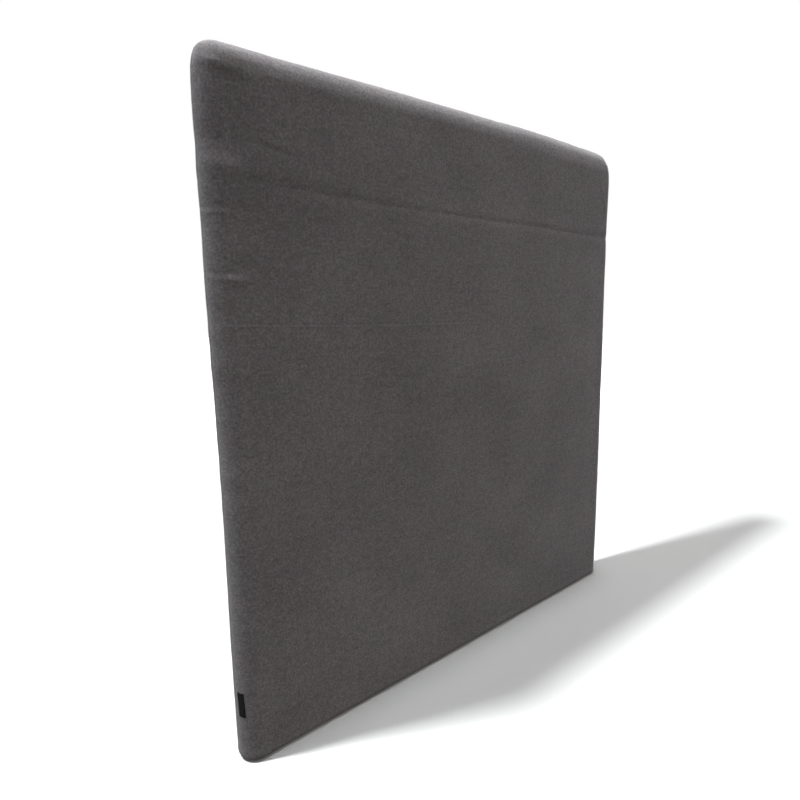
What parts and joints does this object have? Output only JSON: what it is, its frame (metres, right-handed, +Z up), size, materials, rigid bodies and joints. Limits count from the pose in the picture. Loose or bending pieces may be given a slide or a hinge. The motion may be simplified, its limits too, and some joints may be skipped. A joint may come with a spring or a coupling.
{
  "type": "partition wall",
  "caption": "Free-standing upholstered partition wall panel: padded timber frame with rounded edges in a charcoal felt cover that zips low on the back.",
  "frame": {"origin": "centre of the underside, on the floor", "axes": "+Z up, the front face looks along -Y, +X to the right seen from the front; the label is on the -X side and the zip on the +Y face"},
  "size_m": [1.4001, 0.0851, 1.5],
  "materials": {
    "charcoal_felt": "dark charcoal melange wool felt, matt with a soft nap",
    "base_cloth": "black coarse hard-wearing base cloth",
    "thread": "dark polyester sewing thread",
    "woven_label": "bare black woven satin label",
    "zip_tape": "black woven zip tape",
    "zip_coil": "black nylon coil",
    "zip_metal": "black lacquered die-cast zinc, rubbed at the edges",
    "zinc_steel": "bright zinc-plated steel",
    "pine": "planed pine, untreated",
    "beech": "beech dowel",
    "plywood": "birch plywood, untreated",
    "absorber": "grey needled polyester felt",
    "foam": "cream open-cell foam"
  },
  "bodies": {
    "panel": {"front_cover": "charcoal_felt", "back_cover": "charcoal_felt", "rear_hem": "charcoal_felt", "base_panel": "base_cloth", "edge_seam": "thread", "side_label": "woven_label", "base_eyelets": "zinc_steel", "zip_tape_upper": "zip_tape", "zip_tape_lower": "zip_tape", "zip_coil_upper": "zip_coil", "zip_coil_lower": "zip_coil", "zip_stops": "zip_metal", "left_stile": "pine", "right_stile": "pine", "top_rail": "pine", "mid_rail": "pine", "bottom_rail": "pine", "frame_dowels": "beech", "frame_screws": "zinc_steel", "base_board": "plywood", "base_screws": "zinc_steel", "foot_inserts": "zinc_steel", "upper_core": "absorber", "lower_core": "absorber", "front_pad": "foam", "back_pad": "foam", "left_edge_foam": "foam", "right_edge_foam": "foam", "top_edge_foam": "foam", "left_corner_foam": "foam", "right_corner_foam": "foam"},
    "zip_slider": {"zip_slider": "zip_metal"},
    "zip_pull": {"zip_pull": "zip_metal"}
  },
  "joints": [
    {"name": "zip_slide", "type": "slide", "parent": "panel", "child": "zip_slider", "axis": [-1, 0, 0], "range_m": [0, 1.1892]},
    {"name": "pull_swing", "type": "hinge", "parent": "zip_slider", "child": "zip_pull", "pos_m": [0.595, 0.0429, 0.062], "axis": [0, 0, -1], "range_deg": [0, 170]}
  ]
}
